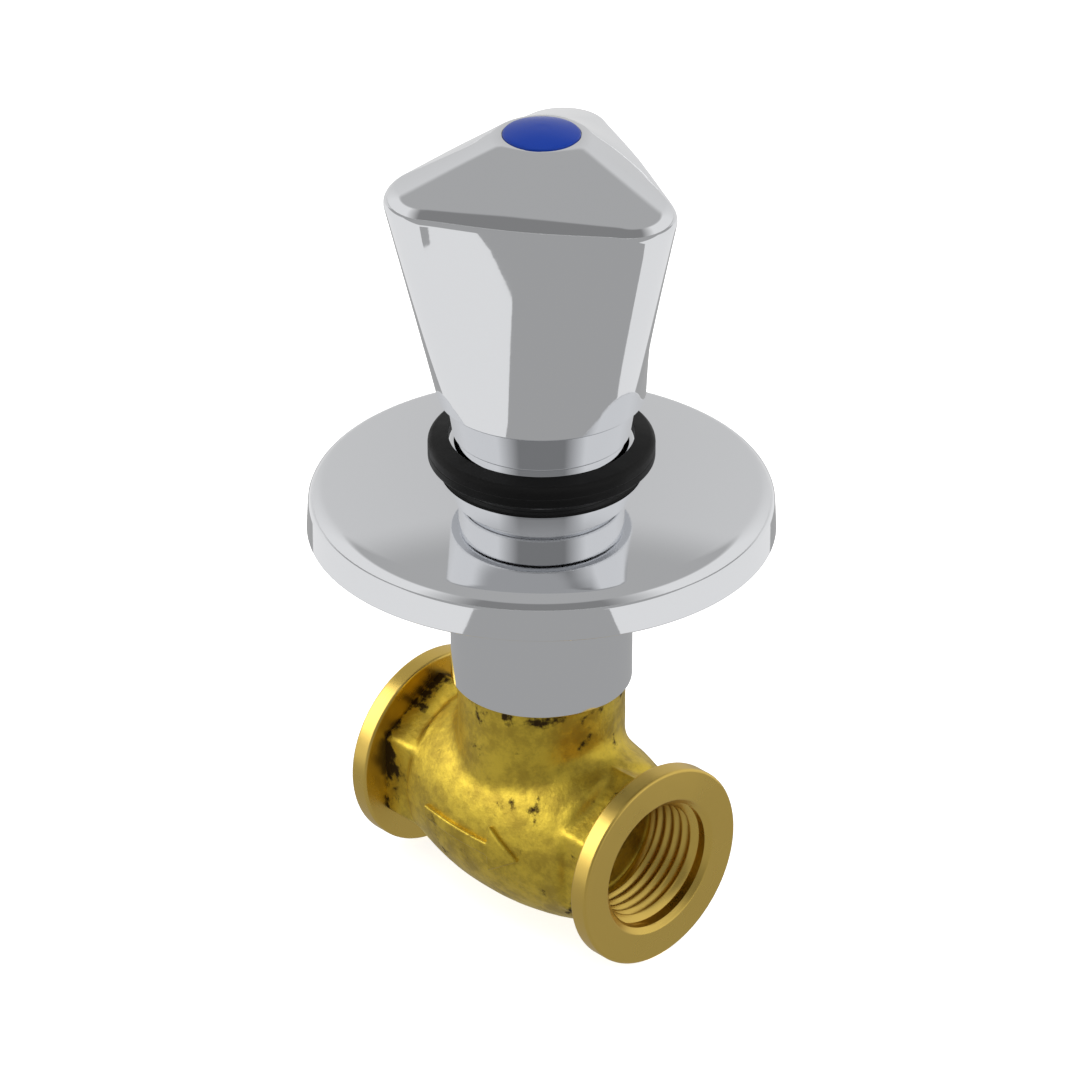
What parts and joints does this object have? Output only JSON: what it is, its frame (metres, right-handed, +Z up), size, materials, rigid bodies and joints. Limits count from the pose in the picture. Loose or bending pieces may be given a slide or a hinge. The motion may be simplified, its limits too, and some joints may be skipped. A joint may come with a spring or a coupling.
{
  "type": "concealed stop valve",
  "caption": "In-wall stop valve with two female pipe ports, a plated sleeve, a sliding wall flange and a three-cornered turning handle.",
  "frame": {"origin": "on the port run's axis, where the inlet's thread begins just inside its mouth", "axes": "+X along the port run from the inlet to the outlet, +Z up along the spindle to the handle"},
  "size_m": [0.0714, 0.0714, 0.1323],
  "materials": {
    "cast_brass": "sand cast and pickled, machined at the ports and neck",
    "turned_brass": "turned",
    "chrome_plate": "polished nickel and chrome plate",
    "black_rubber": "moulded, satin",
    "red_fibre": "pressed fibre",
    "white_packing": "soft packing",
    "bush_plastic": "moulded",
    "stainless": "plain",
    "index_blue": "smooth, satin gloss"
  },
  "bodies": {
    "valve_body": {"body_casting": "cast_brass", "bonnet_gasket": "red_fibre", "bonnet": "turned_brass", "gland_packing": "white_packing", "gland_follower": "turned_brass", "gland_nut": "turned_brass", "sleeve": "chrome_plate"},
    "jumper": {"jumper": "turned_brass", "seat_washer": "black_rubber", "washer_plate": "turned_brass", "washer_nut": "turned_brass"},
    "handle": {"spindle": "turned_brass", "handle": "chrome_plate", "handle_bush": "bush_plastic", "lock_washer": "stainless", "handle_screw": "stainless", "index_button": "index_blue"},
    "wall_flange": {"wall_flange": "chrome_plate", "flange_seal": "black_rubber"},
    "stop_ring": {"stop_ring": "black_rubber"}
  },
  "joints": [
    {"name": "valve_lift", "type": "slide", "parent": "valve_body", "child": "jumper", "axis": [0, 0, 1], "range_m": [0, 0.005]},
    {"name": "handle_turn", "type": "hinge", "parent": "jumper", "child": "handle", "pos_m": [0.0256, 0, 0.06], "axis": [0, 0, 1], "range_deg": [0, 720]},
    {"name": "flange_slide", "type": "slide", "parent": "valve_body", "child": "wall_flange", "axis": [0, 0, 1], "range_m": [-0.025, 0]},
    {"name": "ring_slide", "type": "slide", "parent": "wall_flange", "child": "stop_ring", "axis": [0, 0, 1], "range_m": [-0.002, 0]}
  ],
  "couplings": [
    {"joint": "handle_turn", "follows": "valve_lift", "rad_per_m": 2513.3}
  ]
}
